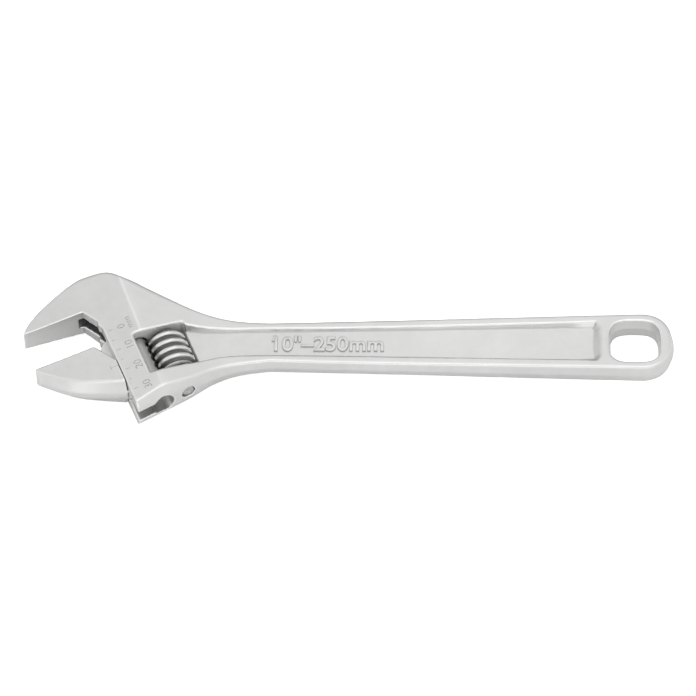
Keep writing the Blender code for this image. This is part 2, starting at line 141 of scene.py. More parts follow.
class WrenchStudio(bpy.types.PropertyGroup):
    """Camera place and light strengths."""

    azimuth: FloatProperty(name="Azimuth", description="Camera angle round the wrench", subtype="ANGLE",
                           default=math.radians(2.203))
    elevation: FloatProperty(name="Elevation", description="Camera angle above the table",
                             subtype="ANGLE", default=math.radians(53.784))
    roll: FloatProperty(name="Roll", description="Camera roll about its view", subtype="ANGLE",
                        default=math.radians(-1.774))
    distance: FloatProperty(name="Distance", description="Camera to the wrench", unit="LENGTH",
                            default=1.84385)
    lens: FloatProperty(name="Lens", description="Focal length on a 36 mm sensor, mm", default=243.58)
    sky: FloatProperty(name="Sky", description="Strength of the even surrounding light", default=0.86)
    rear: FloatProperty(name="Rear", description="Share of that light left low behind the wrench",
                        default=0.4)
    softbox: FloatProperty(name="Softbox", description="Power of the overhead softbox, W", default=1.5)
    strip: FloatProperty(name="Strip", description="Power of the rear strip light, W", default=0.3)
    fill: FloatProperty(name="Fill", description="Power of the front fill light, W", default=1.7)


# ---- field arithmetic ------------------------------------------------------------------------
def smooth_max(a, b, r):
    """The larger of two fields with a rounding of about r where they meet."""
    return np.maximum(a, b) + np.maximum(r - np.abs(a - b), 0.0) ** 2 / (4.0 * r)


def smooth_min(a, b, r):
    """The smaller of two fields with a fillet of about r where they meet."""
    return -smooth_max(-a, -b, r)


def fade(value, low, high):
    """Smooth change from 0 at low to 1 at high."""
    t = np.clip((value - low) / (high - low), 0.0, 1.0)
    return t * t * (3.0 - 2.0 * t)


def polygon(x, y, corners):
    """Signed distance to a closed outline, negative inside."""
    shape = np.broadcast(x, y).shape
    nearest = np.full(shape, 1e9)
    inside = np.zeros(shape, bool)
    for (ax, ay), (bx, by) in zip(corners, corners[1:] + corners[:1]):
        ex, ey = bx - ax, by - ay
        px, py = x - ax, y - ay
        t = np.clip((px * ex + py * ey) / (ex * ex + ey * ey), 0.0, 1.0)
        nearest = np.minimum(nearest, (px - ex * t) ** 2 + (py - ey * t) ** 2)
        if ay != by:
            inside ^= ((ay > y) != (by > y)) & (px < ex * py / ey)
    return np.where(inside, -1.0, 1.0) * np.sqrt(nearest)


def box_uv(u, v, u_range, v_range, r):
    """A rectangle in the jaw directions with rounded corners."""
    (u0, u1), (v0, v1) = u_range, v_range
    return smooth_max(np.abs(u - (u0 + u1) / 2) - (u1 - u0) / 2, np.abs(v - (v0 + v1) / 2) - (v1 - v0) / 2, r)


def curve_through(points, per_span):
    """A smooth line through a few stations."""
    ends = [points[0], *points, points[-1]]
    out = []
    for a, b, c, d in zip(ends, ends[1:], ends[2:], ends[3:]):
        for step in range(per_span):
            t = step / per_span
            out.append(tuple(
                0.5 * (2 * b[k] + (c[k] - a[k]) * t + (2 * a[k] - 5 * b[k] + 4 * c[k] - d[k]) * t * t
                       + (3 * b[k] - a[k] - 3 * c[k] + d[k]) * t ** 3) for k in range(2)))
    return out + [points[-1]]


def jaw_axes(x, y):
    """Plan x, y as u along the jaw faces and v along the slide."""
    dx, dy = x - CORNER.x, y - CORNER.y
    return dx * ALONG.x + dy * ALONG.y, dx * SLIDE.x + dy * SLIDE.y


def plan(u, v):
    """A point given in the jaw directions as plan x, y."""
    return CORNER.x + u * ALONG.x + v * SLIDE.x, CORNER.y + u * ALONG.y + v * SLIDE.y


# ---- forging ---------------------------------------------------------------------------------
RIDGE_ANGLE, RIDGE_X = math.radians(19.86), 47.4
JAW_TAPER, NECK_TAPER, RIDGE_BLEND, HANDLE_BLEND = 0.1002, 0.170, 0.68, 1.7
HANDLE_HEIGHT, HANDLE_DIP, HANDLE_RISE = 4.05, 0.15, 0.85
DIP_SPAN, RISE_SPAN = (40.0, 78.0), (78.0, 186.0)   # past the ridge: the handle thins, then thickens
BODY_SOFT, JAW_SOFT = 0.04, 0.01                    # softening of the two halves at the mid-plane
NECK_X, NECK_HALF, END_X, END_HALF = 97.0, 9.15, 242.0, 13.1
END_SQUARENESS = 2.25
CHAMFER_LEAN, CHAMFER_STOP, CHAMFER_SPAN = 0.45, -38.0, (3.0, 14.0)
PARTING_BULGE, HEAD_WALL, HANDLE_WALL, HEAD_CHAMFER = 0.9, 4.4, 4.2, 0.62
SHANK_SPAN, WALL_BLEND = (54.0, 80.0), 0.9          # the head's walls turn into the handle's
TIP_SHARP, TIP_SPAN = 0.12, (1.5, 16.0)             # share of the rounding at the tip, and where it is full
GAP_ROUND, BORE_ROUND = 0.4, 0.3
HEAD_BACK = [(-0.3, -1.0), (0.0, 2.5), (2.8, 9.2), (10.2, 18.7), (21.4, 29.3), (31.6, 33.3), (41.2, 29.9),
             (49.3, 25.1), (57.4, 20.4), (65.4, 16.0), (73.4, 12.6), (81.3, 10.5), (89.2, 9.45)]
HEAD_LOWER = [(89.2, -10.2), (81.6, -12.0), (74.0, -15.4), (66.3, -20.9), (57.0, -27.1), (47.2, -33.2),
              (38.5, -38.4), (30.0, -43.4)]
GAP_PLAN = [(-60.0, 0.0), (-4.47, 0.0), (-0.7, 6.53), (-0.95, 8.4), (0.0, 10.0), (0.0, 80.0), (-60.0, 80.0)]
WINDOW_U, WINDOW_V, WINDOW_CORNER = (9.8, 30.3), (18.3, 38.2), 1.2
BORE_U, BORE_R, BORE_TOP = 11.0, 4.6, -7.0
SLOT_HALF = 2.85
SLOT_PLAN = [(-6.5, 3.0), (-6.5, -0.3), (-5.2, -1.5), (-1.4, -4.6), (3.0, -6.4), (BORE_U, BORE_TOP),
             (BORE_U, 62.0), (-6.5, 62.0)]
PIN_HOLE_R, PIN_TOP = 2.8, 12.7
RECESS_TOP = [(61.6, 6.95), (67.0, 6.35), (74.2, 6.0), (85.0, 6.25), (97.0, 6.5), (126.0, 6.9), (187.0, 8.15),
              (224.6, 9.0)]
RECESS_LOW = [(224.6, -9.0), (187.0, -8.15), (126.0, -6.9), (97.0, -6.6), (85.5, -6.9), (77.8, -7.85),
              (69.6, -10.4)]
RECESS_DRAFT, RECESS_LEVEL, RECESS_END, RECESS_HALF, RECESS_U = 0.34, 4.1, 225.7, 9.0, 26.0
RECESS_ROUND = 0.45
RAMP_LEAN, RAMP_BOW, RAMP_SPAN = 0.9, 1.2, (212.0, 224.0)   # extra draft toward the recess's end
HANG_X, HANG_Y, HANG_A, HANG_B, HANG_SQUARENESS, HANG_DRAFT = 239.5, -0.15, 9.3, 9.15, 3.2, 0.9
HANG_HALF, HANG_BACK, HANG_ROUND = 4.8, 0.2, 0.5    # half depth, the back's share of draft, rim rounding


def handle_half(x):
    """Half width of the shank."""
    return NECK_HALF + (END_HALF - NECK_HALF) * (x - NECK_X) / (END_X - NECK_X)


def forging_plan():
    """The forging's outline at its upright wall."""
    end = []
    for i in range(25):
        t = math.pi / 2 * (1 - i / 24)
        reach = LENGTH - PARTING_BULGE - END_X
        end.append((END_X + reach * math.cos(t) ** (2 / END_SQUARENESS),
                    END_HALF * math.sin(t) ** (2 / END_SQUARENESS)))
    shank = [(x, handle_half(x)) for x in (NECK_X, 160.0, 225.0)]
    upper = curve_through(HEAD_BACK, 8) + shank + end
    lower = [(x, -y) for x, y in reversed(end[:-1])] + [(x, -y) for x, y in reversed(shank)]
    return upper + lower + curve_through(HEAD_LOWER, 7)


def recess_plan():
    """Outline of the recess between the window and the boss of the hanging hole."""
    end = [(RECESS_END, RECESS_HALF - 2.0 * RECESS_HALF * i / 8) for i in range(1, 8)]
    window_side = [plan(RECESS_U, WINDOW_V[1] - 0.2), plan(RECESS_U, WINDOW_V[0] + 0.9)]
    return curve_through(RECESS_TOP, 4) + end + curve_through(RECESS_LOW, 4) + window_side


def ridge_distance(x, y):
    """Distance past the ridge that runs across the head, toward the handle."""
    return (x - RIDGE_X) * math.cos(RIDGE_ANGLE) + y * math.sin(RIDGE_ANGLE)


def face_height(x, y, ridge_height):
    """Height of the front face above the mid-plane."""
    past = ridge_distance(x, y)
    ridge = smooth_min(ridge_height + past * JAW_TAPER, ridge_height - past * NECK_TAPER, RIDGE_BLEND)
    handle = HANDLE_HEIGHT - HANDLE_DIP * fade(past, *DIP_SPAN) + HANDLE_RISE * fade(past, *RISE_SPAN)
    return smooth_max(ridge, handle, HANDLE_BLEND)


def hanging_hole(x, y):
    """Distance past the hanging hole's outline at its narrowest."""
    lobe = ((np.abs(x - HANG_X) / HANG_A) ** HANG_SQUARENESS
            + (np.abs(y - HANG_Y) / HANG_B) ** HANG_SQUARENESS) ** (1.0 / HANG_SQUARENESS)
    return (lobe - 1.0) * HANG_B


def body_field(sizes):
    """The forged body with its jaw gap, recesses, window, channel, pin hole and hanging hole."""
    outline, recess_line = forging_plan(), recess_plan()

    def field(x, y, z):
        tall = np.sqrt(z * z + BODY_SOFT)
        u, v = jaw_axes(x, y)
        shank = fade(x, *SHANK_SPAN)
        edge = polygon(x, y, outline)
        bulge = PARTING_BULGE * shank
        wall = HEAD_WALL + (HANDLE_WALL - HEAD_WALL) * shank
        drafted = (edge - bulge * (1.0 - tall / wall)) / np.sqrt(1.0 + (bulge / wall) ** 2)
        behind_tip = np.where(y > CHAMFER_STOP, fade(x - CHAMFER_LEAN * y, *CHAMFER_SPAN), 0.0)
        slope = (HEAD_CHAMFER + (PARTING_BULGE / HANDLE_WALL - HEAD_CHAMFER) * shank) * behind_tip
        chamfer = (edge + slope * (tall - wall)) / np.sqrt(1.0 + slope ** 2)
        side = smooth_max(drafted, chamfer, WALL_BLEND * (1.0 - shank) + 0.02)
        face = tall - face_height(x, y, sizes.ridge_height)
        tip = TIP_SHARP + (1.0 - TIP_SHARP) * fade(x, *TIP_SPAN)
        solid = smooth_max(side, face, sizes.edge_round * tip)

        solid = smooth_max(solid, -polygon(u, v, GAP_PLAN), GAP_ROUND * tip)

        bow = np.clip(1.0 - (y / RECESS_HALF) ** 2, 0.0, 1.0)
        draft = RECESS_DRAFT * (1.0 + (RAMP_LEAN + RAMP_BOW * bow) * fade(x, *RAMP_SPAN))
        pocket = (polygon(x, y, recess_line) - draft * (tall - RECESS_LEVEL)) / np.sqrt(1.0 + draft ** 2)
        pocket = smooth_max(pocket, sizes.web_half - tall, sizes.fillet)
        solid = smooth_max(solid, -pocket, RECESS_ROUND)

        hole = hanging_hole(x, y) - HANG_DRAFT * np.where(z > 0.0, z, z * -HANG_BACK) / HANG_HALF
        solid = smooth_max(solid, -hole, HANG_ROUND)

        window = box_uv(u, v, WINDOW_U, WINDOW_V, WINDOW_CORNER)
        solid = smooth_max(solid, -window, sizes.rim_round)
        slot = np.maximum(polygon(u, v, SLOT_PLAN), np.abs(z) - SLOT_HALF)
        bore = np.maximum(np.hypot(u - BORE_U, z) - BORE_R, BORE_TOP - v)
        solid = smooth_max(solid, -np.minimum(slot, bore), BORE_ROUND)
        pin_hole = np.maximum(np.hypot(u - WORM_U, z) - PIN_HOLE_R, PIN_TOP - v)
        return smooth_max(solid, -pin_hole, BORE_ROUND)

    return field


# ---- movable jaw -----------------------------------------------------------------------------
JAW_LOWER = [(6.0, -11.0), (6.0, -14.4), (7.7, -17.9), (16.9, -21.6), (23.5, -23.2), (31.0, -23.5),
             (41.6, -23.4), (47.0, -23.3)]
JAW_LAND = 1.3
JAW_TIP_DRAFT, JAW_ROOT_DRAFT, JAW_DRAFT_SPAN = 0.66, 0.36, (14.0, 42.0)
JAW_TIP_ROUND, JAW_ROUND_GAIN, JAW_ROUND_SPAN, JAW_SIDE_ROUND = 0.25, 0.45, (7.0, 25.0), 0.3
JAW_KEEP = [(-45.0, 0.0), (-6.5, 0.0), (-5.7, 0.45), (-0.3, 9.5), (-0.3, 40.0), (-45.0, 40.0)]
NECK_PLAN = [(-8.0, 4.0), (-5.4, 0.9), (-4.2, 0.2), (-3.1, -0.65), (-2.0, -2.2), (-1.2, -3.2), (0.6, -4.0),
             (7.3, -5.0), (11.0, -5.0), (11.0, 23.0), (2.0, 23.0), (-1.6, 21.6), (-8.0, 18.0)]
NECK_HALF_Z, RACK_R, RACK_V = 2.55, 4.3, (-5.0, 23.0)
CREST_HALF, FLANK, TOOTH_PLAY, CREST_AT = 0.65, 0.42, 0.25, 25.1
ARM_BLEND, TOOTH_ROUND, ROOT_BLEND = 0.3, 0.22, 0.35


def wrap(value, period):
    """Distance to the nearest multiple of a period, with its sign."""
    return value - period * np.round(value / period)


def jaw_field(sizes):
    """The movable jaw with its neck and toothed rack."""
    lower = curve_through(JAW_LOWER[2:], 9)
    rest = [(60.0, -23.3), (60.0, 60.0)]
    below = [*JAW_LOWER[:2], *lower, *rest, (JAW_LOWER[0][0], 60.0)]
    bevelled = [(-14.0, -9.2), *lower, *rest, (-14.0, 60.0)]
    lead = sizes.pitch / (math.pi * (sizes.crest_radius + sizes.root_radius))
    depth_u = WORM_U - sizes.crest_radius - TOOTH_PLAY
    low_half = CREST_HALF + TOOTH_PLAY * (1.0 - FLANK)

    def field(x, y, z):
        tall = np.sqrt(z * z + JAW_SOFT)
        u, v = jaw_axes(x, y)
        w = v - OPENING
        edge = polygon(x, y, below)
        draft = JAW_TIP_DRAFT + (JAW_ROOT_DRAFT - JAW_TIP_DRAFT) * fade(x, *JAW_DRAFT_SPAN)
        bevel = (polygon(x, y, bevelled) + draft * (tall - JAW_LAND)) / np.sqrt(1.0 + draft ** 2)
        side = smooth_max(bevel, edge, JAW_SIDE_ROUND)
        face = tall - face_height(x, y, sizes.ridge_height)
        solid = smooth_max(side, face, JAW_TIP_ROUND + JAW_ROUND_GAIN * fade(x, *JAW_ROUND_SPAN))
        solid = smooth_max(solid, polygon(u, w, JAW_KEEP), GAP_ROUND)

        shank = np.maximum(polygon(u, w, NECK_PLAN), np.abs(z) - NECK_HALF_Z)
        rack_end = np.abs(w - (RACK_V[0] + RACK_V[1]) / 2) - (RACK_V[1] - RACK_V[0]) / 2
        rack = np.maximum(np.hypot(u - BORE_U, z) - RACK_R, rack_end)
        arm = smooth_min(shank, rack, ARM_BLEND)
        across = np.abs(wrap(v - z * lead - CREST_AT, sizes.pitch))
        flank = (across - low_half - (u - depth_u) * FLANK) / math.hypot(1.0, FLANK)
        tooth_gap = np.maximum(flank, depth_u - u)
        arm = smooth_max(arm, -tooth_gap, TOOTH_ROUND)
        return smooth_min(solid, arm, ROOT_BLEND)

    return field


# ---- worm ------------------------------------------------------------------------------------
WORM_HALF, WORM_BORE_R, POCKET_R, POCKET_DEPTH = 9.45, 2.6, 4.2, 6.0
END_CHAMFER = 0.9
THREAD_BLEND, WORM_END_ROUND, WORM_CHAMFER_ROUND, WORM_BORE_ROUND = 0.5, 0.3, 0.4, 0.25


def worm_field(sizes):
    """The roller: a left-hand ridge round a core, bored for its pin. Its own axes have z along the slide."""
    def field(x, y, z):
        r = np.hypot(x, y)
        turn = np.arctan2(y, x) / (2.0 * math.pi)
        across = np.abs(wrap(z + WORM_V - CREST_AT + sizes.pitch * (turn - 0.5), sizes.pitch))
        flank = (across - CREST_HALF - (sizes.crest_radius - r) * FLANK) / math.hypot(1.0, FLANK)
        ridge = smooth_max(r - sizes.crest_radius, flank, THREAD_BLEND)
        solid = smooth_min(ridge, r - sizes.root_radius, THREAD_BLEND)
        solid = smooth_max(solid, np.abs(z) - WORM_HALF, WORM_END_ROUND)
        end = (r - sizes.root_radius + np.abs(z) - WORM_HALF + END_CHAMFER * (z < 0)) / math.sqrt(2.0)
        solid = smooth_max(solid, end, WORM_CHAMFER_ROUND)
        solid = smooth_max(solid, WORM_BORE_R - r, WORM_BORE_ROUND)
        pocket = np.maximum(r - POCKET_R, z + WORM_HALF - POCKET_DEPTH)
        return smooth_max(solid, -pocket, WORM_BORE_ROUND)

    return field


# ---- from field to mesh ----------------------------------------------------------------------
MEAN_PULL = 0.03        # holds a vertex near its crossings where the surface is flat
EDGE_REACH = 0.6        # distance over which a surface's bend is measured


def stations(*stretches):
    """Grid planes over stretches given as (start, end, cell)."""
    planes = []
    for start, end, cell in stretches:
        count = max(1, round((end - start) / cell))
        planes += [start + (end - start) * i / count for i in range(count)]
    return np.array(planes + [stretches[-1][1]])


def gradient(field, points, h=0.02):
    """Slope of a field at points, by central differences."""
    out = np.empty_like(points)
    for axis in range(3):
        near, far = points.copy(), points.copy()
        near[:, axis] -= h
        far[:, axis] += h
        out[:, axis] = (field(*far.T) - field(*near.T)) / (2.0 * h)
    return out


def crossings(values, grid, axis):
    """Where grid edges along an axis pass through the surface: cell index, point and sense."""
    low = [slice(None)] * 3
    high = [slice(None)] * 3
    low[axis], high[axis] = slice(None, -1), slice(1, None)
    a, b = values[tuple(low)], values[tuple(high)]
    index = np.argwhere((a < 0) != (b < 0))
    va, vb = a[tuple(index.T)], b[tuple(index.T)]
    t = va / (va - vb)
    points = np.stack([grid[k][index[:, k]] for k in range(3)], axis=1)
    step = grid[axis][index[:, axis] + 1] - grid[axis][index[:, axis]]
    points[:, axis] += t * step
    return index, points, va < 0


def skin(name, field, grid):
    """Mesh a field's surface, one vertex in each cell that it passes through, set on its edges and faces."""
    x, y, z = grid
    values = field(x[:, None, None], y[None, :, None], z[None, None, :])
    cells = tuple(len(g) - 1 for g in grid)
    points_in, normals_in, cells_in, quads = [], [], [], []
    for axis in range(3):
        index, points, rising = crossings(values, grid, axis)
        normals = gradient(field, points)
        normals /= np.linalg.norm(normals, axis=1, keepdims=True) + 1e-9
        side, other = [k for k in range(3) if k != axis]
        corners = []
        for ds, do in ((-1, -1), (0, -1), (0, 0), (-1, 0)):
            cell = index.copy()
            cell[:, side] += ds
            cell[:, other] += do
            corners.append(np.ravel_multi_index(cell.T, cells))
        for corner in corners:
            points_in.append(points)
            normals_in.append(normals)
            cells_in.append(corner)
        ring = np.stack(corners, axis=1)
        flip = rising if axis != 1 else ~rising
        ring[~flip] = ring[~flip][:, ::-1]
        quads.append(ring)
    points_in, normals_in, cells_in = (np.concatenate(a) for a in (points_in, normals_in, cells_in))
    used, where = np.unique(cells_in, return_inverse=True)
    count = np.bincount(where)[:, None]
    mean = np.stack([np.bincount(where, points_in[:, k]) for k in range(3)], axis=1) / count
    offset = np.einsum("ij,ij->i", normals_in, points_in - mean[where])
    square = np.empty((len(used), 3, 3))
    right = np.empty((len(used), 3))
    for i in range(3):
        right[:, i] = np.bincount(where, normals_in[:, i] * offset)
        for j in range(3):
            square[:, i, j] = np.bincount(where, normals_in[:, i] * normals_in[:, j])
    square += MEAN_PULL * count[:, :, None] * np.eye(3)
    move = np.linalg.solve(square, right[:, :, None])[:, :, 0]
    cell = np.stack(np.unravel_index(used, cells), axis=1)
    low = np.stack([grid[k][cell[:, k]] for k in range(3)], axis=1)
    high = np.stack([grid[k][cell[:, k] + 1] for k in range(3)], axis=1)
    spots = np.clip(mean + move, low, high)
    faces = np.searchsorted(used, np.concatenate(quads))
    mesh = bpy.data.meshes.new(name)
    mesh.from_pydata(spots.tolist(), [], faces.tolist())
    curve = sum(field(*(spots + d).T) + field(*(spots - d).T) for d in np.eye(3) * EDGE_REACH)
    bend = (curve - 6.0 * field(*spots.T)) / EDGE_REACH ** 2
    store(mesh, "edge", np.clip(bend, -2.0, 2.0))
    mesh.shade_smooth()
    mesh.validate()
    return mesh


def positions(mesh):
    """The vertices' x, y and z as three rows."""
    flat = np.empty(3 * len(mesh.vertices), np.float32)
    mesh.vertices.foreach_get("co", flat)
    return flat.reshape(-1, 3).T.astype(float)


def store(mesh, name, values):
    """Keep one number for each vertex, for the materials."""
    mesh.attributes.new(name, "FLOAT", "POINT").data.foreach_set("value", values.astype(np.float32))


def settle(name, mesh, matrix, body, slot, material, *nodes):
    """Put a millimetre mesh in the frame, on its body and in place of its nodes."""
    mesh.transform(Matrix.Scale(MM, 4) @ matrix)
    obj = bpy.data.objects.new(name, mesh)
    bpy.context.scene.collection.objects.link(obj)
    obj.data.materials.append(material)
    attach(obj, body)
    if nodes:
        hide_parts(*nodes)
    return obj


def worm_axes(v):
    """Axes on the roller's line with Z along the slide, at a distance along it."""
    axes = Matrix((ALONG, Vector((0.0, 0.0, 1.0)), SLIDE)).transposed().to_4x4()
    axes.translation = WORM_CENTRE + (v - WORM_V) * SLIDE
    return axes


# ---- shader maths ----------------------------------------------------------------------------
class Socket:
    """A node socket that adds Math nodes as it is used in an expression."""

    def __init__(self, paint, link):
        self.paint, self.link = paint, link

    def _math(self, operation, *values):
        return self.paint.node("Math", {"operation": operation}, dict(enumerate(values)))

    def __add__(self, other):
        return self._math("ADD", self, other)

    def __radd__(self, other):
        return self._math("ADD", other, self)

    def __sub__(self, other):
        return self._math("SUBTRACT", self, other)

    def __rsub__(self, other):
        return self._math("SUBTRACT", other, self)

    def __mul__(self, other):
        return self._math("MULTIPLY", self, other)

    def __rmul__(self, other):
        return self._math("MULTIPLY", other, self)

    def clamp(self, low=0.0, high=1.0):
        """Share of the way from low to high, held between 0 and 1."""
        values = {"Value": self, "From Min": low, "From Max": high}
        return self.paint.node("MapRange", {"clamp": True}, values)


class Nodes:
    """A node tree under construction."""

    def __init__(self, tree):
        self.tree = tree

    def node(self, kind, settings=None, values=None, output=0):
        """Add a node: its settings first, then its sockets. Gives the wrapped output."""
        made = self.tree.nodes.new("ShaderNode" + kind)
        for key, value in (settings or {}).items():
            setattr(made, key, value)
        for key, value in (values or {}).items():
            self.put(made.inputs[key], value)
        return Socket(self, made.outputs[output])

    def put(self, socket, value):
        """Link or set one socket."""
        if isinstance(value, Socket):
            self.tree.links.new(value.link, socket)
        else:
            socket.default_value = value


class Paint(Nodes):
    """A material under construction."""

    def __init__(self, name, metallic=1.0):
        self.material = bpy.data.materials.new(name)
        self.material.use_nodes = True
        super().__init__(self.material.node_tree)
        self.shader = self.tree.nodes["Principled BSDF"]
        self.shader.inputs["Metallic"].default_value = metallic

    def place(self):
        """Object coordinates in metres."""
        return self.node("TexCoord", output="Object")

    def noise(self, scale, detail=3.0, stretch=None):
        """Noise over the object, its features about 1 / scale metres."""
        where = self.place()
        if stretch:
            where = self.node("Mapping", {}, {"Vector": where, "Scale": stretch})
        return self.node("TexNoise", {}, {"Vector": where, "Scale": scale, "Detail": detail})

    def attribute(self, name):
        """A value stored on the mesh."""
        return self.node("Attribute", {"attribute_name": name}, output="Fac")

    def blend(self, share, a, b):
        """Colour a where share is 0, b where it is 1."""
        return self.node("Mix", {"data_type": "RGBA"}, {0: share, 6: a, 7: b}, output=2)

    def finish(self, colour, roughness, height, depth):
        """Connect the varying inputs of the shader."""
        self.put(self.shader.inputs["Base Color"], colour)
        self.put(self.shader.inputs["Roughness"], roughness)
        bump = self.node("Bump", {}, {"Height": height, "Distance": depth, "Strength": 1.0})
        self.put(self.shader.inputs["Normal"], bump)
        return self.material


def shade(colour, factor):
    """A colour made darker or lighter, with alpha."""
    return (*(min(1.0, c * factor) for c in colour), 1.0)


def satin_chrome(name, finish, ground=False):
    """Satin plating over a blasted forging: soft mottling, fine grain, edges lighter from wear and painted
    highlight, corners darker from grime and painted shade.

    The mesh's painted_highlight values paint a highlight on it and its raw values make it rougher and less
    metallic. Where ground is set, the mesh also says which part is bare ground steel.
    """
    paint = Paint(name)
    edge = paint.attribute("edge")
    mottle = paint.noise(55.0, 4.0)
    grain = paint.noise(2600.0, 2.0)
    ripple = paint.noise(260.0, 3.0)
    # convex edges: partly wear, partly painted highlight
    rubbed_and_highlight = (edge + mottle * 0.5 - 0.25).clamp(0.35, 1.1)
    # concave creases: painted shade, with some grime
    crease_shade_and_grime = (0.0 - edge).clamp(0.25, 1.4)
    tone = (mottle * 0.55 + ripple * 0.45).clamp(0.3, 0.7)
    plate = paint.blend(tone, shade(finish.chrome, 0.94), shade(finish.chrome, 1.04))
    # lighter plating on those edges: partly wear, partly painted highlight
    plate = paint.blend(rubbed_and_highlight, plate, shade(finish.chrome, 1.08))
    # painted shade and grime darken the creases
    plate = paint.blend(crease_shade_and_grime * 0.55, plate, shade(finish.chrome, 0.45))
    # painted highlight: the head's ridge line and the hanging hole's lead-in made lighter
    plate = paint.blend(paint.attribute("painted_highlight"), plate, shade(finish.chrome, 1.2))
    if ground:
        plate = paint.blend(paint.attribute("ground"), plate, shade(finish.steel, 0.62))
    rough = finish.chrome_roughness + (ripple - 0.5) * 0.10 + crease_shade_and_grime * 0.15 - rubbed_and_highlight * 0.12
    rough = rough + paint.attribute("raw") * 0.3
    paint.put(paint.shader.inputs["Metallic"], 1.0 - paint.attribute("raw") * 0.6)
    return paint.finish(plate, rough, grain * 0.35 + ripple * 0.65, 0.00006)


def turned_steel(name, finish):
    """Bright turned steel, its edges lighter from wear and painted highlight, darker toward the root of its
    thread.
    """
    paint = Paint(name)
    edge = paint.attribute("edge")
    deep = paint.attribute("groove")
    grain = paint.noise(900.0, 3.0)
    # darker toward the root of the grooves
    groove_darkening = (deep + (grain - 0.5) * 0.3).clamp(0.15, 0.95)
    # edges lighter: partly wear, partly painted highlight
    worn_and_highlight = (edge + grain * 0.4).clamp(0.3, 1.4)
    bright = paint.blend(worn_and_highlight, shade(finish.steel, 0.88), shade(finish.steel, 1.15))
    colour = paint.blend(groove_darkening, bright, shade(finish.groove, 1.0))
    rough = 0.24 + groove_darkening * 0.3 + (grain - 0.5) * 0.1
    return paint.finish(colour, rough, grain, 0.00004)


def plain_steel(name, colour, roughness):
    """Ground or drawn steel of a small inner piece."""
    paint = Paint(name)
    grain = paint.noise(1200.0, 3.0, (1.0, 1.0, 0.2))
    tone = paint.blend(grain.clamp(0.3, 0.7), shade(colour, 0.85), shade(colour, 1.15))
    return paint.finish(tone, roughness + (grain - 0.5) * 0.12, grain, 0.00003)


def etched(name, finish):
    """Dull dark grey of an etched mark, uneven from wear."""
    paint = Paint(name, metallic=0.6)
    grain = paint.noise(1800.0, 3.0)
    tone = paint.blend(grain.clamp(0.3, 0.75), shade(finish.etching, 0.8), shade(finish.etching, 1.9))
    return paint.finish(tone, 0.55 + (grain - 0.5) * 0.2, grain, 0.00002)


# ---- operators -------------------------------------------------------------------------------
class WRENCH_OT_body(bpy.types.Operator):
    """Build the forged body"""

    bl_idname = "wrench.body"
    bl_label = "Forged body"

    def execute(self, context):
        sizes, finish = context.scene.wrench_sizes, context.scene.wrench_finish
        cell, mid_cell, long_cell = sizes.fine_cell, 0.6, sizes.long_cell
        tall = sizes.ridge_height + 1.0
        along = stations((-2.0, 72.0, cell), (72.0, 92.0, mid_cell), (92.0, 210.0, long_cell),
                         (210.0, 257.0, mid_cell))
        across = stations((-36.0, -14.5, cell), (-14.5, 14.5, cell), (14.5, 35.0, cell))
        mesh = skin("forged_body", body_field(sizes), (along, across, stations((-tall, tall, cell))))
        x, y, z = positions(mesh)
        ridge_width, near_top, wall_margin, rim_depth = 0.45, 0.7, 0.3, 0.6
        past = ridge_distance(x, y)
        at_top = np.abs(np.abs(z) - sizes.ridge_height) < near_top
        # painted highlight: a light line along the head's ridge and a lighter front half on the hanging hole's
        # lead-in
        ridge_highlight = np.exp(-(past / ridge_width) ** 2) * at_top
        lead_in_highlight = (hanging_hole(x, y) < HANG_DRAFT + 0.2) * fade(z, 0.0, rim_depth)
        store(mesh, "painted_highlight", ridge_highlight * (0.35 + 0.65 * fade(y, -8.0, 8.0)) + lead_in_highlight)
        window = box_uv(*jaw_axes(x, y), WINDOW_U, WINDOW_V, WINDOW_CORNER)
        inside = np.abs(z) < face_height(x, y, sizes.ridge_height) - rim_depth
        store(mesh, "raw", (window < wall_margin) * inside)
        settle("forged_body", mesh, Matrix.Translation(ORIGIN), "body", "satin_chrome",
               satin_chrome("satin_chrome", finish), "wrench_body")
        return {"FINISHED"}


class WRENCH_OT_jaw(bpy.types.Operator):
    """Build the movable jaw with its toothed rack"""

    bl_idname = "wrench.jaw"
    bl_label = "Movable jaw"

    def execute(self, context):
        sizes, finish = context.scene.wrench_sizes, context.scene.wrench_finish
        cell = sizes.fine_cell * 0.75
        tall = sizes.ridge_height + 0.8
        grid = (stations((4.0, 62.0, cell)), stations((-26.0, 14.0, cell)), stations((-tall, tall, cell)))
        mesh = skin("sliding_jaw", jaw_field(sizes), grid)
        x, y, _ = positions(mesh)
        store(mesh, "ground", fade(jaw_axes(x, y)[0], 5.0, 6.0))
        settle("sliding_jaw", mesh, Matrix.Translation(ORIGIN), "jaw", "jaw_chrome",
               satin_chrome("jaw_chrome", finish, ground=True), "movable_jaw")
        return {"FINISHED"}


class WRENCH_OT_worm(bpy.types.Operator):
    """Build the threaded roller"""

    bl_idname = "wrench.worm"
    bl_label = "Threaded roller"

    def execute(self, context):
        sizes, finish = context.scene.wrench_sizes, context.scene.wrench_finish
        reach, half, cell = sizes.crest_radius + 0.6, WORM_HALF + 0.5, 0.24
        across, along = (-reach, reach, cell), (-half, half, cell)
        grid = stations(across), stations(across), stations(along)
        mesh = skin("threaded_roller", worm_field(sizes), grid)
        depth = sizes.crest_radius - sizes.root_radius
        x, y, _ = positions(mesh)
        store(mesh, "groove", np.clip((sizes.crest_radius - np.hypot(x, y)) / depth, 0.0, 1.0))
        settle("threaded_roller", mesh, worm_axes(WORM_V), "worm", "worm_steel",
               turned_steel("roller_steel", finish), "adjusting_worm")
        return {"FINISHED"}


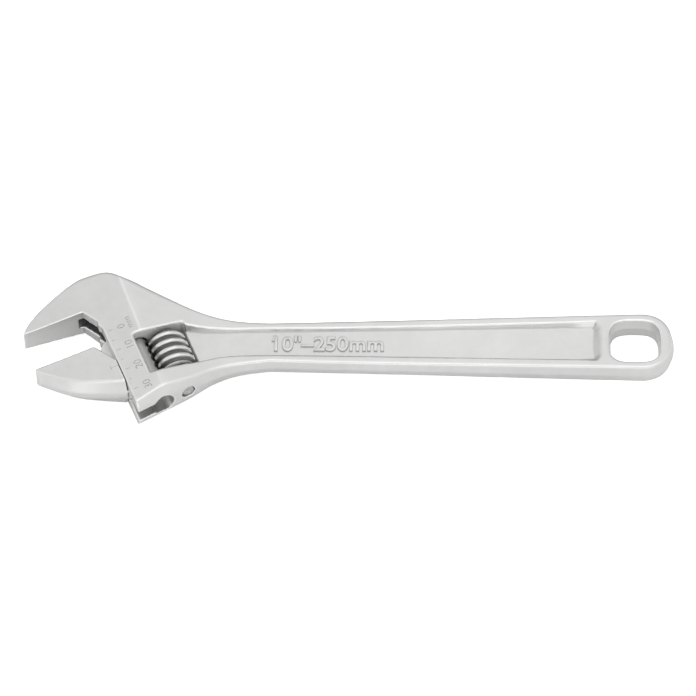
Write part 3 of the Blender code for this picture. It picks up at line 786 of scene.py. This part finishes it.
class WRENCH_OT_pin_and_spring(bpy.types.Operator):
    """Build the roller's pin and play spring"""

    bl_idname = "wrench.pin_and_spring"
    bl_label = "Pin and spring"

    def execute(self, context):
        self.pin()
        self.spring()
        return {"FINISHED"}

    def pin(self):
        """A turned pin with chamfered ends and a shallow dimple in the shown end."""
        radius, top, foot = 2.5, 13.0, 46.6
        profile = [(0.0, foot - 0.35), (0.7, foot - 0.3), (1.1, foot - 0.05), (1.35, foot),
                   (radius - 0.45, foot), (radius - 0.12, foot - 0.12), (radius, foot - 0.45), (radius, top + 0.5),
                   (radius - 0.5, top), (0.0, top)]
        mesh = bpy.data.meshes.new("roller_pin")
        links = [(i, i + 1) for i in range(len(profile) - 1)]
        mesh.from_pydata([(r, 0.0, v - WORM_V) for r, v in profile], links, [])
        obj = bpy.data.objects.new("pin_profile", mesh)
        bpy.context.scene.collection.objects.link(obj)
        screw = obj.modifiers.new("turn", "SCREW")
        screw.steps = screw.render_steps = 64
        screw.use_merge_vertices, screw.merge_threshold = True, 0.0001
        turned = real_mesh(obj, "roller_pin")
        settle("roller_pin", turned, worm_axes(WORM_V), "body", "pin_steel",
               plain_steel("pin_steel", (0.52, 0.52, 0.52), 0.3), "worm_pin")

    def spring(self):
        """A coil of round wire with capped ends, in the roller's pocket."""
        coil_r, wire_r, turns, steps, gap = 3.45, 0.35, 5, 40, 0.3
        low = WINDOW_V[0] + gap + wire_r
        high = WORM_V - WORM_HALF + POCKET_DEPTH - gap - wire_r
        curve = bpy.data.curves.new("coil", "CURVE")
        curve.dimensions, curve.use_fill_caps = "3D", True
        curve.bevel_depth, curve.bevel_resolution = wire_r, 3
        line = curve.splines.new("POLY")
        count = turns * steps + 1
        line.points.add(count - 1)
        for i, point in enumerate(line.points):
            angle = 2 * math.pi * i / steps
            rise = (high - low) * i / (count - 1)
            point.co = (coil_r * math.cos(angle), coil_r * math.sin(angle), rise, 1.0)
        obj = bpy.data.objects.new("coil", curve)
        bpy.context.scene.collection.objects.link(obj)
        settle("play_spring", real_mesh(obj, "play_spring"), worm_axes(low), "body", "spring_steel",
               plain_steel("spring_steel", (0.42, 0.42, 0.44), 0.34), "worm_spring")


def real_mesh(obj, name):
    """The evaluated mesh of a curve, text or modified object, welded, with the object removed."""
    graph = bpy.context.evaluated_depsgraph_get()
    mesh = bpy.data.meshes.new_from_object(obj.evaluated_get(graph))
    mesh.name = name
    bpy.data.objects.remove(obj)
    bm = bmesh.new()
    bm.from_mesh(mesh)
    bmesh.ops.remove_doubles(bm, verts=bm.verts, dist=0.0002)
    bmesh.ops.recalc_face_normals(bm, faces=bm.faces)
    bm.to_mesh(mesh)
    bm.free()
    mesh.materials.clear()
    mesh.shade_smooth()
    mesh.set_sharp_from_angle(angle=math.radians(40.0))
    return mesh


def lettering(text, height, depth, bevel, weight):
    """A line of plain letters, centred, standing up along Z."""
    curve = bpy.data.curves.new("letters", "FONT")
    curve.body, curve.size = text, height
    curve.align_x, curve.align_y = "CENTER", "CENTER"
    curve.extrude, curve.bevel_depth, curve.bevel_resolution = depth, bevel, 2
    curve.offset = weight
    curve.resolution_u = 6
    obj = bpy.data.objects.new("letters", curve)
    bpy.context.scene.collection.objects.link(obj)
    return real_mesh(obj, "letters")


def lay_on_face(mesh, sizes, matrix, proud):
    """Place a flat mesh in plan and drape it over the front face."""
    mesh.transform(matrix)
    for vertex in mesh.vertices:
        x, y, z = vertex.co
        vertex.co.z = float(face_height(x, y, sizes.ridge_height)) + z + proud


def bar(u0, u1, v0, v1):
    """A thin flat bar in the jaw directions, a little wider along the slide than its corners say."""
    spread, top_z, foot_z = 0.08, 0.02, -0.06
    bm = bmesh.new()
    corners = ((u0, v0 - spread), (u0, v1 + spread), (u1, v1 + spread), (u1, v0 - spread))
    top = [bm.verts.new((*plan(u, v), top_z)) for u, v in corners]
    face = bm.faces.new(top)
    low = bmesh.ops.extrude_face_region(bm, geom=[face])
    for vertex in (g for g in low["geom"] if isinstance(g, bmesh.types.BMVert)):
        vertex.co.z = foot_z
    bmesh.ops.recalc_face_normals(bm, faces=bm.faces)
    mesh = bpy.data.meshes.new("bar")
    bm.to_mesh(mesh)
    bm.free()
    return mesh


def joined(name, meshes):
    """Several meshes as one."""
    bm = bmesh.new()
    for mesh in meshes:
        bm.from_mesh(mesh)
        bpy.data.meshes.remove(mesh)
    mesh = bpy.data.meshes.new(name)
    bm.to_mesh(mesh)
    bm.free()
    return mesh


class WRENCH_OT_scale(bpy.types.Operator):
    """Etch the opening scale on the body and its pointer on the jaw"""

    bl_idname = "wrench.scale"
    bl_label = "Opening scale"

    LABELS = (("0", 13.0), ("10", 22.5), ("20", 32.7), ("30", 43.0))
    LABEL_HEIGHT, LABEL_U = 4.3, 7.0
    UNIT_HEIGHT, UNIT_U, UNIT_V = 3.8, 10.2, 12.5
    TICKS, FIRST_TICK, TICK_STEP, TICK_HALF = 7, 13.0, 5.0, 0.03
    TICK_U, SHORT_TICK_U, LONG_TICK_U = 1.4, 2.4, 3.2
    POINTER_V, POINTER_U, POINTER_HALF = 12.4, (-3.6, -3.3, -0.3), 0.9

    def execute(self, context):
        sizes, finish = context.scene.wrench_sizes, context.scene.wrench_finish
        etching = etched("etched_scale", finish)
        turn = Matrix((-SLIDE, -ALONG, Vector((0.0, 0.0, 1.0)))).transposed().to_4x4()
        marks = []
        for text, v in self.LABELS:
            marks.append(self.label(text, self.LABEL_HEIGHT, self.LABEL_U, v, turn, sizes))
        marks.append(self.label("mm", self.UNIT_HEIGHT, self.UNIT_U, self.UNIT_V, turn, sizes))
        for step in range(self.TICKS):
            v = self.FIRST_TICK + self.TICK_STEP * step
            reach = self.SHORT_TICK_U if step % 2 else self.LONG_TICK_U
            tick = bar(self.TICK_U, reach, v - self.TICK_HALF, v + self.TICK_HALF)
            lay_on_face(tick, sizes, Matrix.Identity(4), 0.0)
            marks.append(tick)
        settle("opening_scale", joined("opening_scale", marks), Matrix.Translation(ORIGIN), "body",
               "satin_chrome", etching)
        at = OPENING + self.POINTER_V
        far, neck, near = self.POINTER_U
        head = bar(far, neck, at - self.POINTER_HALF, at + self.POINTER_HALF)
        pointer = joined("scale_pointer", [bar(neck, near, at, at), head])
        lay_on_face(pointer, sizes, Matrix.Identity(4), 0.0)
        settle("scale_pointer", pointer, Matrix.Translation(ORIGIN), "jaw", "jaw_chrome", etching)
        return {"FINISHED"}

    def label(self, text, height, u, v, turn, sizes):
        """One number laid on the face."""
        mesh = lettering(text, height, 0.03, 0.0, -0.03)
        place = turn.copy()
        place.translation = (*plan(u, v), 0.0)
        lay_on_face(mesh, sizes, place, 0.0)
        return mesh


class WRENCH_OT_size_mark(bpy.types.Operator):
    """Raise the tool's size in the recess of the handle"""

    bl_idname = "wrench.size_mark"
    bl_label = "Raised size mark"

    def execute(self, context):
        sizes, finish = context.scene.wrench_sizes, context.scene.wrench_finish
        start, end, tall = 98.6, 141.6, 7.5
        depth, bevel, lift = 0.30, 0.24, 0.1
        mesh = lettering(finish.size_mark, 9.0, depth, bevel, 0.04)
        low = Vector([min(v.co[k] for v in mesh.vertices) for k in range(3)])
        high = Vector([max(v.co[k] for v in mesh.vertices) for k in range(3)])
        fit = Matrix.Diagonal(((end - start) / (high.x - low.x), tall / (high.y - low.y), 1.0, 1.0))
        middle = Matrix.Translation(-(low + high) / 2)
        place = Matrix.Translation(((start + end) / 2, 0.0, sizes.web_half + lift))
        mesh.transform(place @ fit @ middle)
        flag = lettering("/", 3.2, depth, bevel, 0.1)
        flag.transform(Matrix.Translation((start - 0.1, tall / 2 - 1.3, sizes.web_half + lift)))
        mesh = joined("raised_size", [mesh, flag])
        z = positions(mesh)[2]
        # painted shade: the letters' sides get a strongly concave edge value, which darkens them into a dark
        # outline; their tops get a slightly convex one
        store(mesh, "edge", np.where(z > z.max() - 0.02, 0.3, -1.3))
        settle("raised_size", mesh, Matrix.Translation(ORIGIN), "body", "satin_chrome",
               satin_chrome("raised_chrome", finish))
        return {"FINISHED"}


class WRENCH_OT_stage(bpy.types.Operator):
    """Set the floor, the soft lights and the camera"""

    bl_idname = "wrench.stage"
    bl_label = "Stage"

    PAPER, BOUNCE, GLOW, DROP = (0.93, 0.95), 0.92, 0.75, -0.0002
    LOW_BEHIND = (0.6, 0.95)

    def execute(self, context):
        studio = context.scene.wrench_studio
        context.scene.view_settings.view_transform = "Standard"
        self.floor()
        self.lights(context.scene, studio)
        self.camera(context.scene, studio)
        return {"FINISHED"}

    def floor(self):
        """White paper that glows a little toward the camera and is plain matt white in reflections."""
        bm = bmesh.new()
        bmesh.ops.create_grid(bm, x_segments=2, y_segments=2, size=6.0)
        mesh = bpy.data.meshes.new("floor")
        bm.to_mesh(mesh)
        bm.free()
        floor = bpy.data.objects.new("floor", mesh)
        floor.location.z = self.DROP
        bpy.context.scene.collection.objects.link(floor)
        paint = Paint("paper", metallic=0.0)
        fibre = paint.noise(500.0, 4.0)
        tone = paint.blend(fibre.clamp(0.3, 0.7), *((grey, grey, grey, 1.0) for grey in self.PAPER))
        paint.finish(tone, 0.9 + (fibre - 0.5) * 0.05, fibre, 0.00002)
        paint.shader.inputs["Emission Color"].default_value = (1.0, 1.0, 1.0, 1.0)
        paint.shader.inputs["Emission Strength"].default_value = self.GLOW
        matt = paint.node("BsdfDiffuse", {}, {"Color": (self.BOUNCE, self.BOUNCE, self.BOUNCE, 1.0)})
        seen = paint.node("LightPath")
        mixed = paint.node("MixShader", {}, {0: seen, 1: matt, 2: Socket(paint, paint.shader.outputs[0])})
        paint.put(paint.tree.nodes["Material Output"].inputs["Surface"], mixed)
        floor.data.materials.append(paint.material)

    def lights(self, scene, studio):
        """A sky that darkens low behind, a large overhead softbox, a rear strip and a low front fill."""
        world = bpy.data.worlds.new("studio")
        scene.world = world
        world.use_nodes = True
        nodes = Nodes(world.node_tree)
        background = world.node_tree.nodes["Background"]
        background.inputs["Color"].default_value = (1.0, 1.0, 1.0, 1.0)
        across = nodes.node("SeparateXYZ", {}, {0: nodes.node("TexCoord", output="Generated")}, output="Y")
        low_behind = across.clamp(*self.LOW_BEHIND)
        nodes.put(background.inputs["Strength"], studio.sky * (1.0 - low_behind * (1.0 - studio.rear)))
        self.softbox("overhead", place=(0.15, -0.25, 1.3), size=(1.2, 0.8), power=studio.softbox)
        self.softbox("strip", place=(0.07, 0.70, 0.96), size=(0.22, 1.1), power=studio.strip)
        self.softbox("front", place=(0.0, -1.5, 0.35), size=(1.8, 0.6), power=studio.fill)

    def softbox(self, name, place, size, power):
        """An oblong area light facing the wrench, unseen itself."""
        lamp = bpy.data.lights.new(name, "AREA")
        lamp.shape, lamp.energy = "RECTANGLE", power
        lamp.size, lamp.size_y = size
        obj = bpy.data.objects.new(name, lamp)
        obj.location = place
        obj.rotation_euler = (-Vector(place)).to_track_quat("-Z", "Y").to_euler()
        obj.visible_camera = False
        bpy.context.scene.collection.objects.link(obj)

    def camera(self, scene, studio):
        """A long lens from the front, high above the table."""
        a, e, r = studio.azimuth, studio.elevation, studio.roll
        back = Vector((math.sin(a) * math.cos(e), -math.cos(a) * math.cos(e), math.sin(e)))
        right = Vector((math.cos(a), math.sin(a), 0.0))
        up = back.cross(right)
        side = right * math.cos(r) + up * math.sin(r)
        rise = up * math.cos(r) - right * math.sin(r)
        data = bpy.data.cameras.new("camera")
        data.sensor_width, data.lens = 36.0, studio.lens
        data.clip_start, data.clip_end = 0.05, 20.0
        camera = bpy.data.objects.new("camera", data)
        turn = Matrix((side, rise, back)).transposed().to_4x4()
        target = Vector((0.0, -0.00015, MID_HEIGHT * MM))
        camera.matrix_world = Matrix.Translation(target + back * studio.distance) @ turn
        scene.collection.objects.link(camera)
        scene.camera = camera


class WRENCH_PT_panel(bpy.types.Panel):
    """The wrench's builders in the sidebar"""

    bl_label = "Adjustable Wrench"
    bl_idname = "WRENCH_PT_panel"
    bl_space_type = "VIEW_3D"
    bl_region_type = "UI"
    bl_category = "Wrench"

    def draw(self, context):
        for operator in OPERATORS:
            self.layout.operator(operator.bl_idname)
        for group in ("wrench_sizes", "wrench_finish", "wrench_studio"):
            values = getattr(context.scene, group)
            for name in values.__annotations__:
                self.layout.prop(values, name)


GROUPS = {"wrench_sizes": WrenchSizes, "wrench_finish": WrenchFinish, "wrench_studio": WrenchStudio}
OPERATORS = (WRENCH_OT_body, WRENCH_OT_jaw, WRENCH_OT_worm, WRENCH_OT_pin_and_spring, WRENCH_OT_scale,
             WRENCH_OT_size_mark, WRENCH_OT_stage)


def register():
    """Add the classes and the scene's property groups."""
    for cls in (*GROUPS.values(), *OPERATORS, WRENCH_PT_panel):
        bpy.utils.register_class(cls)
    for name, cls in GROUPS.items():
        setattr(bpy.types.Scene, name, PointerProperty(type=cls))


def unregister():
    """Remove them again."""
    for name in GROUPS:
        delattr(bpy.types.Scene, name)
    for cls in reversed((*GROUPS.values(), *OPERATORS, WRENCH_PT_panel)):
        bpy.utils.unregister_class(cls)


def main():
    """Build every piece and the stage."""
    register()
    bpy.ops.wrench.body()
    bpy.ops.wrench.jaw()
    bpy.ops.wrench.worm()
    bpy.ops.wrench.pin_and_spring()
    bpy.ops.wrench.scale()
    bpy.ops.wrench.size_mark()
    bpy.ops.wrench.stage()


if __name__ == "__main__":
    main()
